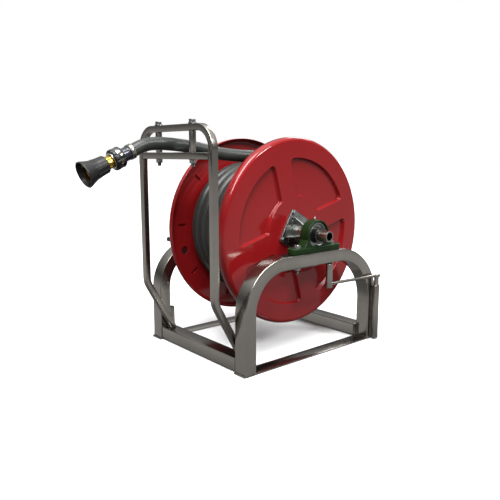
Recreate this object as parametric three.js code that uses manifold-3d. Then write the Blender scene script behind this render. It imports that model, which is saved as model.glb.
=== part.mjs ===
// Fire hose reel on a welded tube stand, in millimetres, +Z up.
// X runs along the drum's axle, -Y is the front, where the hose leaves through its guide.
import * as THREE from 'three';
import { mergeVertices } from 'three/addons/utils/BufferGeometryUtils.js';
import Module from 'manifold-3d';

const wasm = await Module();
wasm.setup();

// ---- driving dimensions ----
const GAP = 0.3;                 // between pieces that touch
const LEFT = -1;
const RIGHT = 1;                 // the side of the water inlet

const TUBE_WIDE = 50;            // rectangular tube of the stand
const TUBE_DEEP = 40;
const TUBE_WALL = 3;
const ARCH_OUT = 252.5;          // from the middle to an arch's outer face
const ARCH_FRONT = 268.5;        // from the middle to the front legs' front faces
const ARCH_REAR = 316;           // from the middle to the rear legs' rear faces
const ARCH_TOP = 332.5;
const FRONT_BEND = 156;          // outer radius of an arch's front shoulder
const REAR_BEND = 195;
const FOOT_THICK = 5;
const FOOT_FRONT = 274;
const FOOT_REAR = 317.5;
const MEMBER_TOP = 45;
const MEMBER_SETBACK = 2;        // cross member's face behind the legs' faces

const GUIDE_TUBE = 20;           // square tube of the hose guide
const GUIDE_WALL = 2;
const GUIDE_CORNER = 3;
const GUIDE_Y = -327;
const GUIDE_LEG_X = 187;
const GUIDE_TOP = 707;           // centre of the top bar
const GUIDE_BAR_Z = 627;         // centre of the lower bar
const GUIDE_BEND = 65;
const GUIDE_KINK_Z = 214;
const GUIDE_FOOT_Y = -233;
const PIN_X = 90;
const ROLLER_R = 10;

const AXLE_Y = 31;
const AXLE_Z = 385;
const AXLE_R = 16.85;            // 1 inch pipe
const AXLE_BORE_R = 12.7;
const AXLE_INLET_X = 290;
const AXLE_SPLIT_X = 140;         // where the stub axles meet the feed pipe
const AXLE_LEFT_X = -262;
const AXLE_FIT_R = AXLE_R + GAP;

const DISC_R = 300;
const DISC_FACE_X = 147;
const SHEET = 3;
const RIM_WIDTH = 27.5;
const RIM_ROUND = 14;
const RIM_STEPS = 3;
const SPOKE_ANGLE = 15.5;        // degrees from +Y towards +Z
const SPOKE_HALF = 33;
const PANEL_IN_R = 116;
const PANEL_OUT_R = 236;
const PANEL_SINK = 10.5;
const PANEL_CORNER = 22;
const GROOVES = { count: 9, first: 137, wide: 9, inner: 229, outer: 257, deep: 3, wall: 2.5 };
const DRAIN_HOLE = { radius: 13.5, at: 246, angle: 197 };

const HOSE_R = 19;
const CORE_R = 144;
const COIL_R = 220;
const COIL_TURNS = 7;
const COIL_HALF = COIL_TURNS * HOSE_R;
const RISER_X = 114;             // outlet inside the drum, under the first turn of hose

const BLOCK_X = ARCH_OUT - TUBE_WIDE / 2;   // middle of a pillow block and of its arch tube
const BLOCK_BASE = 214;
const BLOCK_BASE_THICK = 18;
const BLOCK_DOME_R = 47;
const BLOCK_DOME_WIDE = 36;
const BLOCK_BOLT_SPAN = 150;
const BEARING_R = 39.7;
const BEARING_SPLIT_R = 30;
const BEARING_WIDE = 26;
const M12_R = 6;
const M12_HEX_R = 10.9;
const M12_HEAD = 9;
const M12_NUT = 10.5;
const NIPPLE = { r: 3, tip: 2.1, step: 4, tall: 11 };
const SHELL_R = 25;              // bearing shell round the axle

const HUB_PLATE = 113;
const HUB_PLATE_THICK = 6;
const HUB_SLEEVE_R = 27;
const HUB_SLEEVE_END = 199;
const HUB_BOLT_R = 66;           // from the axle to a plate bolt
const RIB_REACH = 50;
const RIB_THICK = 5;
const M8_R = 4;
const M8_HEX_R = 7.5;
const M8_HEAD = 6;

const HOLDER = { x: 267.1, y: 298, r: 11, bore: 8.6, bottom: 6, top: 188 };
const CRANK = { shaft: 8, play: 0.5, arm: 5, armZ: 224, socketDepth: 40 };
const HANDLE = { x: 245, y: 83, r: 11, bore: 8.5, bottom: 211, top: 290 };
const SOCKET = { x: -BLOCK_X, r: 14, bore: 11.5, top: 103 };

const BRAKE = { y: -178, z: 331.8, bush: 12, screw: 6, knob: 8, pad: 8.5, reach: 290 };
const BRAKE_GAP = 4;
const BRAKE_PAD_THICK = 12;
const BRAKE_KNOB_THICK = 24;

// Hose lead: centre line from the top of the coil, through the guide, to the nozzle.
const LEAD_POINTS = [
  [92, 31, 624.6], [92, -30, 624.6], [87, -92, 624.6], [73, -155, 627.5], [54, -205, 634],
  [33, -255, 646], [17, -300, 655], [5, -348, 660.5], [0, -392, 662], [0, -431.9, 656.5],
];
const HOSE_END = new THREE.Vector3(0, -467, 641.3);
const NOZZLE_DROP = 23.5;        // degrees that the nozzle points below level

// Nozzle: stations along its own axis from the hose's end, and radii.
const NOZZLE = {
  bore: 12, barrel: 19.5, ferruleR: 21.8, ferruleEnd: 14, tailEnd: 52,
  ringStart: 38, ringEnd: 69, ringR: 30, flangeR: 23.5, flangeEnd: 72,
  bodyR: 18, bodyEnd: 134, bodyTaper: 4, lipR: 16,
  sleeveStart: 90, sleeveEnd: 160, sleeveBack: 24.4, sleeveMid: 30, sleeveFlare: 37.4, mouthR: 34,
  throatR: 24, throatX: 138, neckX: 124, stemStart: 80, stemR: 9, baffleR: 14, baffleEnd: 145,
};

// The origin is on the floor, under the middle of the whole reel without its free hose.
const WASHER_R = 12;
const FRONT_REACH = GUIDE_Y - WASHER_R;
const REAR_REACH = AXLE_Y + DISC_R;
const ORIGIN_Y = (FRONT_REACH + REAR_REACH) / 2;

// ---- materials ----
const metal = (color, roughness) => new THREE.MeshStandardMaterial({ color, roughness, metalness: 0.9 });
const paint = (color, roughness) => new THREE.MeshStandardMaterial({ color, roughness, metalness: 0.1 });
const steel = () => metal(0x8f8a83, 0.35);
const zinc = () => metal(0xa3a8a6, 0.4);
const brass = () => metal(0xb08d2c, 0.3);
const redPaint = () => paint(0xb01f26, 0.25);
const greenPaint = () => paint(0x1f4a14, 0.45);
const rubber = () => paint(0x3a3d3b, 0.75);
const black = () => paint(0x17181a, 0.5);

// ---- solids ----
const radians = THREE.MathUtils.degToRad;

function toSolid(geometry) {
  const bare = geometry.clone();
  bare.deleteAttribute('normal');
  bare.deleteAttribute('uv');
  const merged = mergeVertices(bare, 1e-4);
  const vertProperties = new Float32Array(merged.attributes.position.array);
  const triVerts = new Uint32Array(merged.index.array);
  return new wasm.Manifold(new wasm.Mesh({ numProp: 3, vertProperties, triVerts }));
}

function toGeometry(solid) {
  const mesh = solid.getMesh();
  const geometry = new THREE.BufferGeometry();
  geometry.setAttribute('position', new THREE.BufferAttribute(mesh.vertProperties, 3));
  geometry.setIndex(new THREE.BufferAttribute(mesh.triVerts, 1));
  return geometry;
}

function join(...geometries) {
  return toGeometry(geometries.map(toSolid).reduce((sum, solid) => sum.add(solid)));
}

function cut(geometry, ...tools) {
  return toGeometry(tools.map(toSolid).reduce((rest, tool) => rest.subtract(tool), toSolid(geometry)));
}

function box(low, high) {
  const size = high.map((value, axis) => value - low[axis]);
  const middle = high.map((value, axis) => (value + low[axis]) / 2);
  return new THREE.BoxGeometry(...size).translate(...middle);
}

// A solid of revolution about +X. The profile is a closed loop of [x, radius] pairs.
function turned(profile, sides = 20) {
  const points = profile.map(([x, radius]) => new THREE.Vector2(radius, x));
  if (THREE.ShapeUtils.area(points) < 0) {
    points.reverse();
  }
  points.push(points[0].clone());
  return new THREE.LatheGeometry(points, sides).rotateZ(-Math.PI / 2);
}

function ringX(x0, x1, outer, inner, sides = 20) {
  return turned([[x0, inner], [x0, outer], [x1, outer], [x1, inner]], sides);
}

function rodX(x0, x1, radius, sides = 16) {
  return new THREE.CylinderGeometry(radius, radius, x1 - x0, sides).rotateZ(-Math.PI / 2)
    .translate((x0 + x1) / 2, 0, 0);
}

const standUp = (geometry) => geometry.rotateY(-Math.PI / 2);

function ringZ(z0, z1, outer, inner, sides = 16) {
  return standUp(ringX(z0, z1, outer, inner, sides));
}

function rodZ(z0, z1, radius, sides = 16) {
  return standUp(rodX(z0, z1, radius, sides));
}

// Extrudes an outline drawn in the Y-Z plane along X, from x0 to x1.
const YZ_TO_X = new THREE.Matrix4().makeBasis(
  new THREE.Vector3(0, 1, 0), new THREE.Vector3(0, 0, 1), new THREE.Vector3(1, 0, 0));

function slab(shape, x0, x1, curveSegments = 4) {
  const options = { depth: x1 - x0, bevelEnabled: false, curveSegments };
  return new THREE.ExtrudeGeometry(shape, options).applyMatrix4(YZ_TO_X).translate(x0, 0, 0);
}

// A path through given stations; each station's section stands square to the bisector there.
class Route extends THREE.Curve {
  constructor(stations) {
    super();
    this.stations = stations;
  }

  getUtoTmapping(u) {
    return u;
  }

  getPoint(t) {
    const place = Math.min(t, 1) * (this.stations.length - 1);
    const from = Math.min(Math.floor(place), this.stations.length - 2);
    return this.stations[from].clone().lerp(this.stations[from + 1], place - from);
  }

  getTangent(t) {
    const here = Math.round(t * (this.stations.length - 1));
    const direction = new THREE.Vector3();
    if (here > 0) {
      direction.add(this.stations[here].clone().sub(this.stations[here - 1]).normalize());
    }
    if (here < this.stations.length - 1) {
      direction.add(this.stations[here + 1].clone().sub(this.stations[here]).normalize());
    }
    return direction.normalize();
  }
}

// Rounds the inner corners of a line of points with arcs of one radius.
function filleted(corners, radius, steps = 4) {
  const stations = [corners[0]];
  for (let i = 1; i < corners.length - 1; i += 1) {
    const back = corners[i - 1].clone().sub(corners[i]).normalize();
    const ahead = corners[i + 1].clone().sub(corners[i]).normalize();
    const half = back.angleTo(ahead) / 2;
    const towards = back.clone().add(ahead).normalize();
    const centre = corners[i].clone().addScaledVector(towards, radius / Math.sin(half));
    const turn = Math.PI - 2 * half;
    const start = back.clone().multiplyScalar(radius / Math.tan(half)).add(corners[i]).sub(centre);
    const axis = new THREE.Vector3().crossVectors(ahead, back).normalize();
    for (let k = 0; k <= steps; k += 1) {
      stations.push(start.clone().applyAxisAngle(axis, turn * k / steps).add(centre));
    }
  }
  stations.push(corners[corners.length - 1]);
  return stations;
}

function swept(shape, stations) {
  const options = { steps: stations.length - 1, extrudePath: new Route(stations), curveSegments: 2 };
  return new THREE.ExtrudeGeometry(shape, options);
}

function roundedSquare(side, corner) {
  const half = side / 2;
  const inner = half - corner;
  const shape = new THREE.Shape();
  shape.absarc(inner, inner, corner, 0, Math.PI / 2);
  shape.absarc(-inner, inner, corner, Math.PI / 2, Math.PI);
  shape.absarc(-inner, -inner, corner, Math.PI, Math.PI * 1.5);
  shape.absarc(inner, -inner, corner, Math.PI * 1.5, Math.PI * 2);
  return shape;
}

function squareHole(side) {
  const half = side / 2;
  return new THREE.Path([[-half, -half], [half, -half], [half, half], [-half, half]]
    .map(([x, y]) => new THREE.Vector2(x, y)));
}

function circleShape(radius, sides) {
  const points = [];
  for (let i = 0; i < sides; i += 1) {
    const angle = 2 * Math.PI * i / sides;
    points.push(new THREE.Vector2(radius * Math.cos(angle), radius * Math.sin(angle)));
  }
  return new THREE.Shape(points);
}

// ---- the scene graph ----
const reel = new THREE.Group();
const stand = new THREE.Group();
stand.position.y = -ORIGIN_Y;
reel.add(stand);

function put(parent, name, geometry, material, place = [0, 0, 0]) {
  const mesh = new THREE.Mesh(geometry, material);
  mesh.name = name;
  mesh.position.set(...place);
  parent.add(mesh);
  return mesh;
}

// ---- stand ----
// One arch's band: two legs and a top joined by round shoulders, with an inset for the wall.
function archBand(inset, bottom) {
  const front = inset - ARCH_FRONT;
  const rear = ARCH_REAR - inset;
  const frontIn = TUBE_DEEP - inset - ARCH_FRONT;
  const rearIn = ARCH_REAR - TUBE_DEEP + inset;
  const top = ARCH_TOP - inset;
  const under = ARCH_TOP - TUBE_DEEP + inset;
  const frontR = FRONT_BEND - inset;
  const rearR = REAR_BEND - inset;
  const frontInR = FRONT_BEND - TUBE_DEEP + inset;
  const rearInR = REAR_BEND - TUBE_DEEP + inset;
  const quarter = Math.PI / 2;
  const shape = new THREE.Shape();
  shape.moveTo(front, bottom);
  shape.lineTo(front, top - frontR);
  shape.absarc(front + frontR, top - frontR, frontR, Math.PI, quarter, true);
  shape.absarc(rear - rearR, top - rearR, rearR, quarter, 0, true);
  shape.lineTo(rear, bottom);
  shape.lineTo(rearIn, bottom);
  shape.absarc(rearIn - rearInR, under - rearInR, rearInR, 0, quarter, false);
  shape.absarc(frontIn + frontInR, under - frontInR, frontInR, quarter, Math.PI, false);
  shape.lineTo(frontIn, bottom);
  shape.closePath();
  return shape;
}

function boltPlaces() {
  return [LEFT, RIGHT].map((end) => AXLE_Y + end * BLOCK_BOLT_SPAN / 2);
}

function addArch(side, name) {
  const foot = FOOT_THICK + GAP;
  const low = -TUBE_WIDE / 2;
  const band = slab(archBand(0, foot), low, -low, 9);
  const inside = slab(archBand(TUBE_WALL, foot - 1), low + TUBE_WALL, -low - TUBE_WALL, 9);
  const holes = boltPlaces().map((y) => rodZ(ARCH_TOP - 2 * TUBE_DEEP, ARCH_TOP + 1, M12_R + GAP)
    .translate(0, y, 0));
  put(stand, `${name}_arch`, cut(band, inside, ...holes), steel(), [side * (ARCH_OUT + low), 0, 0]);
  const bar = box([low, -FOOT_FRONT, 0], [-low, FOOT_REAR, FOOT_THICK]);
  put(stand, `${name}_foot_bar`, bar, steel(), [side * (ARCH_OUT + low), 0, 0]);
}

function addMember(side, name) {
  const reach = ARCH_OUT - TUBE_WIDE - GAP;
  const out = (side < 0 ? ARCH_FRONT : ARCH_REAR) - MEMBER_SETBACK;
  const inn = out - TUBE_WIDE;
  const whole = box([-reach, inn, FOOT_THICK], [reach, out, MEMBER_TOP]);
  const inside = box([-reach - 1, inn + TUBE_WALL, FOOT_THICK + TUBE_WALL],
    [reach + 1, out - TUBE_WALL, MEMBER_TOP - TUBE_WALL]);
  const tube = cut(whole, inside);
  if (side < 0) {
    tube.rotateZ(Math.PI);
  }
  put(stand, `${name}_cross_member`, tube, steel());
}

addArch(RIGHT, 'right');
addArch(LEFT, 'left');
addMember(LEFT, 'front');
addMember(RIGHT, 'rear');

// ---- hose guide ----
function pinHole(x) {
  return rodZ(0, GUIDE_TOP + GUIDE_TUBE, M12_R + GAP).translate(x, GUIDE_Y, 0);
}

function addGuide() {
  const half = GUIDE_TUBE / 2;
  const overrun = GUIDE_TUBE;
  const slope = (GUIDE_FOOT_Y - GUIDE_Y) / (GUIDE_KINK_Z - MEMBER_TOP);
  const footZ = MEMBER_TOP - overrun;
  const footY = GUIDE_FOOT_Y + overrun * slope;
  const leg = (side) => [
    new THREE.Vector3(side * GUIDE_LEG_X, footY, footZ),
    new THREE.Vector3(side * GUIDE_LEG_X, GUIDE_Y, GUIDE_KINK_Z),
    new THREE.Vector3(side * GUIDE_LEG_X, GUIDE_Y, GUIDE_TOP),
  ];
  const corners = [...leg(LEFT), ...leg(RIGHT).reverse()];
  const section = roundedSquare(GUIDE_TUBE, GUIDE_CORNER);
  section.holes.push(squareHole(GUIDE_TUBE - 2 * GUIDE_WALL));
  const below = box([-ARCH_OUT, GUIDE_Y, 0], [ARCH_OUT, 0, MEMBER_TOP + GAP]);
  const frame = cut(swept(section, filleted(corners, GUIDE_BEND)), below, pinHole(-PIN_X), pinHole(PIN_X));
  put(stand, 'guide_frame', frame, steel());

  const reach = GUIDE_LEG_X - half - GAP;
  const barSection = roundedSquare(GUIDE_TUBE, GUIDE_CORNER);
  barSection.holes.push(squareHole(GUIDE_TUBE - 2 * GUIDE_WALL));
  const ends = [-reach, reach].map((x) => new THREE.Vector3(x, GUIDE_Y, GUIDE_BAR_Z));
  put(stand, 'guide_lower_bar', cut(swept(barSection, ends), pinHole(-PIN_X), pinHole(PIN_X)), steel());
}

function hexBolt(seatZ, endZ) {
  return join(rodZ(seatZ, seatZ + M12_HEAD, M12_HEX_R, 6), rodZ(endZ, seatZ + 1, M12_R));
}

function hexNut(bottom) {
  const top = bottom + M12_NUT;
  return cut(rodZ(bottom, top, M12_HEX_R, 6), rodZ(bottom - 1, top + 1, M12_R + GAP));
}

function addGuidePin(side, name) {
  const half = GUIDE_TUBE / 2;
  const washer = 2.5;
  const tail = 10;
  const top = GUIDE_TOP + half + GAP;
  const under = GUIDE_BAR_Z - half - GAP;
  const place = [side * PIN_X, GUIDE_Y, 0];
  put(stand, `${name}_pin_washer`, ringZ(top, top + washer, WASHER_R, M12_R + GAP), zinc(), place);
  put(stand, `${name}_pin_bolt`, hexBolt(top + washer + GAP, under - M12_NUT - tail), zinc(), place);
  put(stand, `${name}_pin_nut`, hexNut(under - M12_NUT), zinc(), place);
  const roller = ringZ(GUIDE_BAR_Z + half + GAP, GUIDE_TOP - half - GAP, ROLLER_R, M12_R + GAP);
  put(stand, `${name}_pin_roller`, roller, steel(), place);
}

addGuide();
addGuidePin(RIGHT, 'right');
addGuidePin(LEFT, 'left');

// ---- crank, its holder and the front socket ----
function addCrank() {
  const { x, y, r, bore, bottom, top } = HOLDER;
  put(stand, 'crank_holder', ringZ(bottom, top, r, bore), steel(), [x, y, 0]);
  const plateHalf = 8;
  const plateOut = x - r - GAP;
  const plate = box([ARCH_OUT + GAP, y - plateHalf, bottom], [plateOut, y + plateHalf, top - plateHalf]);
  put(stand, 'holder_plate', plate, steel());

  const collar = 4;
  const shaft = join(
    rodZ(bottom + collar, CRANK.armZ + CRANK.arm, CRANK.shaft),
    rodZ(top + GAP, top + collar, r));
  const reach = Math.hypot(HANDLE.x - x, HANDLE.y - y) - HANDLE.r - GAP;
  const arm = rodX(-CRANK.shaft - CRANK.arm, reach, CRANK.arm).translate(0, 0, CRANK.armZ);
  arm.rotateZ(Math.atan2(HANDLE.y - y, HANDLE.x - x));
  put(stand, 'crank', join(shaft, arm), zinc(), [x, y, 0]);
  const grip = ringZ(HANDLE.bottom, HANDLE.top, HANDLE.r, HANDLE.bore);
  put(stand, 'crank_handle', grip, steel(), [HANDLE.x, HANDLE.y, 0]);
}

function addSocket() {
  const y = TUBE_DEEP - ARCH_FRONT + SOCKET.r + GAP;
  const tube = ringZ(FOOT_THICK + GAP, SOCKET.top, SOCKET.r, SOCKET.bore);
  put(stand, 'front_socket', tube, steel(), [SOCKET.x, y, 0]);
}

addCrank();
addSocket();

// ---- pillow blocks ----
function stadium(length, width) {
  const r = width / 2;
  const shape = new THREE.Shape();
  shape.absarc(length / 2 - r, 0, r, -Math.PI / 2, Math.PI / 2, false);
  shape.absarc(r - length / 2, 0, r, Math.PI / 2, Math.PI * 1.5, false);
  return shape;
}

function housing() {
  const bottom = ARCH_TOP + GAP - AXLE_Z;
  const shelf = bottom + BLOCK_BASE_THICK;
  const baseOptions = { depth: BLOCK_BASE_THICK, bevelEnabled: false, curveSegments: 8 };
  const base = new THREE.ExtrudeGeometry(stadium(BLOCK_BASE, TUBE_WIDE), baseOptions);
  base.rotateZ(Math.PI / 2).translate(0, 0, bottom);
  const flare = 1.23 * BLOCK_DOME_R;
  const tangent = Math.PI / 12;
  const dome = new THREE.Shape();
  dome.moveTo(-flare, shelf - 1);
  dome.lineTo(flare, shelf - 1);
  dome.absarc(0, 0, BLOCK_DOME_R, -tangent, Math.PI + tangent, false);
  dome.closePath();
  const half = BLOCK_DOME_WIDE / 2;
  const bore = rodX(-TUBE_WIDE, TUBE_WIDE, BEARING_R + GAP, 24);
  const holes = [LEFT, RIGHT].map((end) => rodZ(bottom - 1, shelf + 1, M12_R + GAP)
    .translate(0, end * BLOCK_BOLT_SPAN / 2, 0));
  return cut(join(base, slab(dome, -half, half, 12)), bore, ...holes);
}

function addBlock(side, name) {
  const place = [side * BLOCK_X, AXLE_Y, AXLE_Z];
  put(stand, `${name}_block_housing`, housing(), greenPaint(), place);
  const half = BEARING_WIDE / 2;
  put(stand, `${name}_bearing_ring`, ringX(-half, half, BEARING_R, BEARING_SPLIT_R, 24), zinc(), place);
  const headZ = ARCH_TOP + BLOCK_BASE_THICK + 2 * GAP;
  const tail = 13;
  const nutZ = ARCH_TOP - TUBE_DEEP - GAP - M12_NUT;
  const [front, rear] = boltPlaces();
  for (const [end, y] of [['front', front], ['rear', rear]]) {
    const spot = [place[0], y, 0];
    put(stand, `${name}_${end}_block_bolt`, hexBolt(headZ, nutZ - tail), zinc(), spot);
    put(stand, `${name}_${end}_block_nut`, hexNut(nutZ), zinc(), spot);
  }
}

function addNipple() {
  const nipple = join(
    rodZ(0, NIPPLE.step + 1, NIPPLE.r, 12),
    rodZ(NIPPLE.step, NIPPLE.tall, NIPPLE.tip, 12));
  put(stand, 'grease_nipple', nipple, brass(), [BLOCK_X, AXLE_Y, AXLE_Z + BLOCK_DOME_R + GAP]);
}

addBlock(RIGHT, 'right');
addBlock(LEFT, 'left');
addNipple();

// ---- drum ----
const drum = new THREE.Group();
drum.position.set(0, AXLE_Y, AXLE_Z);
stand.add(drum);
// Four copies of a shape, a quarter turn apart, in line with the spokes.
function quarters(make) {
  return [0, 1, 2, 3].map((k) => make(radians(SPOKE_ANGLE + 90 * k)));
}

// A pressed disc with its rim turned inward. Its outer face is at +x.
function discSheet() {
  const profile = [[DISC_FACE_X - SHEET, AXLE_FIT_R], [DISC_FACE_X, AXLE_FIT_R]];
  const corner = DISC_R - RIM_ROUND;
  const arc = (radius, from, to) => {
    for (let k = 0; k <= RIM_STEPS; k += 1) {
      const angle = (from + (to - from) * k / RIM_STEPS) * Math.PI / 2;
      const x = DISC_FACE_X - RIM_ROUND + radius * Math.cos(angle);
      profile.push([x, corner + radius * Math.sin(angle)]);
    }
  };
  arc(RIM_ROUND, 0, 1);
  profile.push([DISC_FACE_X - RIM_WIDTH, DISC_R], [DISC_FACE_X - RIM_WIDTH, DISC_R - SHEET]);
  arc(RIM_ROUND - SHEET, 1, 0);
  return turned(profile, 48);
}

// One panel between two spokes, the first of them along +Y, drawn in the Y-Z plane.
function panelOutline(inset) {
  const outR = PANEL_OUT_R - inset;
  const inR = PANEL_IN_R + inset;
  const edge = SPOKE_HALF + inset;
  const quarter = Math.PI / 2;
  const outTurn = Math.asin(edge / outR);
  const inTurn = Math.asin(edge / inR);
  const outReach = outR * Math.cos(outTurn);
  const inReach = inR * Math.cos(inTurn);
  const outAngle = outTurn + PANEL_CORNER / outR;
  const inAngle = inTurn + PANEL_CORNER / inR;
  const shape = new THREE.Shape();
  shape.moveTo(inReach + PANEL_CORNER, edge);
  shape.lineTo(outReach - PANEL_CORNER, edge);
  shape.quadraticCurveTo(outReach, edge, outR * Math.cos(outAngle), outR * Math.sin(outAngle));
  shape.absarc(0, 0, outR, outAngle, quarter - outAngle, false);
  shape.quadraticCurveTo(edge, outReach, edge, outReach - PANEL_CORNER);
  shape.lineTo(edge, inReach + PANEL_CORNER);
  shape.quadraticCurveTo(edge, inReach, inR * Math.sin(inAngle), inR * Math.cos(inAngle));
  shape.absarc(0, 0, inR, quarter - inAngle, inAngle, true);
  shape.quadraticCurveTo(inReach, edge, inReach + PANEL_CORNER, edge);
  return shape;
}

function addRightDisc() {
  const inner = DISC_FACE_X - SHEET;
  const backs = quarters((turn) => slab(panelOutline(0), inner - PANEL_SINK, inner + 1).rotateX(turn));
  const pockets = quarters((turn) => slab(panelOutline(SHEET), DISC_FACE_X - PANEL_SINK, DISC_FACE_X + 1)
    .rotateX(turn));
  put(drum, 'right_disc', cut(join(discSheet(), ...backs), ...pockets), redPaint());
}

// Short radial grooves stiffen this disc; they are pressed outwards, hollow on the hose's side.
function addLeftDisc() {
  const { count, first, wide, inner, outer, deep, wall } = GROOVES;
  const middle = (outer + inner) / 2;
  const spot = (geometry, k) => geometry.translate(0, middle, 0).rotateX(radians(-first - 360 * k / count));
  const ridges = [];
  const hollows = [];
  for (let k = 0; k < count; k += 1) {
    const ridge = stadium(outer - inner + 2 * wall, wide + 2 * wall);
    ridges.push(spot(slab(ridge, DISC_FACE_X - 1, DISC_FACE_X + deep), k));
    const hollow = stadium(outer - inner, wide);
    hollows.push(spot(slab(hollow, DISC_FACE_X - 2 * SHEET, DISC_FACE_X - SHEET + deep), k));
  }
  const { radius, at, angle } = DRAIN_HOLE;
  const hole = rodX(DISC_FACE_X - 2 * SHEET, DISC_FACE_X + 1, radius)
    .translate(0, at, 0).rotateX(radians(-angle));
  put(drum, 'left_disc', cut(join(discSheet(), ...ridges), ...hollows, hole).rotateY(Math.PI), redPaint());
}

// Square plate with a sleeve round the axle and a triangular rib out to each corner.
function hubPlate() {
  const face = DISC_FACE_X + GAP;
  const top = face + HUB_PLATE_THICK;
  const half = HUB_PLATE / 2;
  const ribHeel = 3;
  const ribTip = HUB_SLEEVE_END - 6;
  const plate = box([face, -half, -half], [top, half, half]).rotateX(Math.PI / 4 + radians(SPOKE_ANGLE));
  const sleeve = rodX(face, HUB_SLEEVE_END, HUB_SLEEVE_R, 20);
  const rib = new THREE.Shape();
  rib.moveTo(top - 1, 0);
  rib.lineTo(top - 1, RIB_REACH);
  rib.lineTo(top + ribHeel, RIB_REACH);
  rib.lineTo(ribTip, HUB_SLEEVE_R - 1);
  rib.lineTo(ribTip, 0);
  rib.closePath();
  const webOptions = { depth: RIB_THICK, bevelEnabled: false };
  const webs = quarters((turn) => new THREE.ExtrudeGeometry(rib, webOptions)
    .translate(0, 0, -RIB_THICK / 2).rotateX(turn));
  const holes = quarters((turn) => rodX(face - 1, top + 1, M8_R + GAP, 12)
    .translate(0, HUB_BOLT_R, 0).rotateX(turn));
  const bore = rodX(face - 1, HUB_SLEEVE_END + 1, AXLE_FIT_R, 20);
  return cut(join(plate, sleeve, ...webs), bore, ...holes);
}

// Split shell that carries the axle in the bearing and locks to it with a collar on each side.
function bearingCollar() {
  const inner = HUB_SLEEVE_END + 6;
  const outer = BLOCK_X + 28;
  const half = BEARING_WIDE / 2;
  const race = BEARING_SPLIT_R - GAP;
  return turned([
    [inner, AXLE_FIT_R], [inner, SHELL_R], [BLOCK_X - half, SHELL_R], [BLOCK_X - half, race],
    [BLOCK_X + half, race], [BLOCK_X + half, SHELL_R], [outer, SHELL_R], [outer, AXLE_FIT_R],
  ]);
}

function addHub(side, name) {
  const plate = hubPlate();
  const collar = bearingCollar();
  if (side < 0) {
    plate.rotateZ(Math.PI);
    collar.rotateZ(Math.PI);
  }
  put(drum, `${name}_hub_plate`, plate, zinc());
  put(drum, `${name}_bearing_collar`, collar, zinc());
}

function addHubBolts() {
  const seat = DISC_FACE_X + HUB_PLATE_THICK + 2 * GAP;
  const bolts = quarters((turn) => join(
    rodX(seat, seat + M8_HEAD, M8_HEX_R, 6),
    rodX(DISC_FACE_X + GAP, seat + 1, M8_R, 12),
  ).translate(0, HUB_BOLT_R, 0).rotateX(turn));
  bolts.forEach((bolt, index) => put(drum, `hub_bolt_${index + 1}`, bolt, zinc()));
}

// Stub axles carry the drum: the right one is the water inlet, the left one takes the crank.
function addAxles() {
  const inner = AXLE_SPLIT_X + GAP;
  const stub = (x0, x1) => rodX(x0, x1, AXLE_R, 20);
  const inletBore = rodX(inner - 1, AXLE_INLET_X + 1, AXLE_BORE_R);
  put(drum, 'inlet_axle', cut(stub(inner, AXLE_INLET_X), inletBore), steel());
  const socket = rodX(AXLE_LEFT_X - 1, AXLE_LEFT_X + CRANK.socketDepth, CRANK.shaft + CRANK.play);
  put(drum, 'crank_axle', cut(stub(AXLE_LEFT_X, -inner), socket), steel());
}

// Feed pipe inside the drum, with the riser that the hose is clamped to.
function addFeedPipe() {
  const riserTop = CORE_R - SHEET - 1;
  const pipe = join(rodX(-AXLE_SPLIT_X, AXLE_SPLIT_X, AXLE_R, 20), rodZ(0, riserTop, AXLE_R, 20)
    .translate(RISER_X, 0, 0));
  const feed = rodX(RISER_X, AXLE_SPLIT_X + 1, AXLE_BORE_R);
  const outlet = rodZ(0, riserTop + 1, AXLE_BORE_R).translate(RISER_X, 0, 0);
  put(drum, 'feed_pipe', cut(pipe, feed, outlet), steel());
}

function addCore() {
  const inner = DISC_FACE_X - SHEET - GAP;
  const hole = rodZ(0, CORE_R + 1, AXLE_R + 2, 20).translate(RISER_X, 0, 0);
  const shell = ringX(-inner, inner - PANEL_SINK, CORE_R, CORE_R - SHEET, 40);
  put(drum, 'drum_core', cut(shell, hole), redPaint());
  put(drum, 'hose_coil', ringX(-COIL_HALF, COIL_HALF, COIL_R, CORE_R + GAP, 40), rubber());
}

addRightDisc();
addLeftDisc();
addHub(RIGHT, 'right');
addHub(LEFT, 'left');
addHubBolts();
addAxles();
addFeedPipe();
addCore();

// ---- screw brake on the left arch ----
function addBrake() {
  const { y, z, bush, screw, knob, pad, reach } = BRAKE;
  const padFace = -(DISC_FACE_X + BRAKE_GAP);
  const padBack = padFace - BRAKE_PAD_THICK;
  const knobIn = BRAKE_KNOB_THICK - reach;
  const place = [0, y, z];
  put(stand, 'brake_bush', ringX(-ARCH_OUT, TUBE_WIDE - ARCH_OUT, bush, screw + GAP), steel(), place);
  put(stand, 'brake_screw', rodX(knobIn + GAP, padBack - GAP, screw), zinc(), place);
  put(stand, 'brake_knob', rodX(-reach, knobIn, knob, 12), black(), place);
  put(stand, 'brake_pad', rodX(padBack, padFace, pad, 24), black(), place);
}

addBrake();

// ---- hose lead and nozzle ----
function addLead() {
  const points = [...LEAD_POINTS.map((point) => new THREE.Vector3(...point)), HOSE_END];
  const path = new THREE.CatmullRomCurve3(points, false, 'centripetal');
  const tube = new THREE.ExtrudeGeometry(circleShape(HOSE_R, 12), { steps: 12, extrudePath: path });
  put(stand, 'hose_lead', tube, rubber());
}

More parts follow.
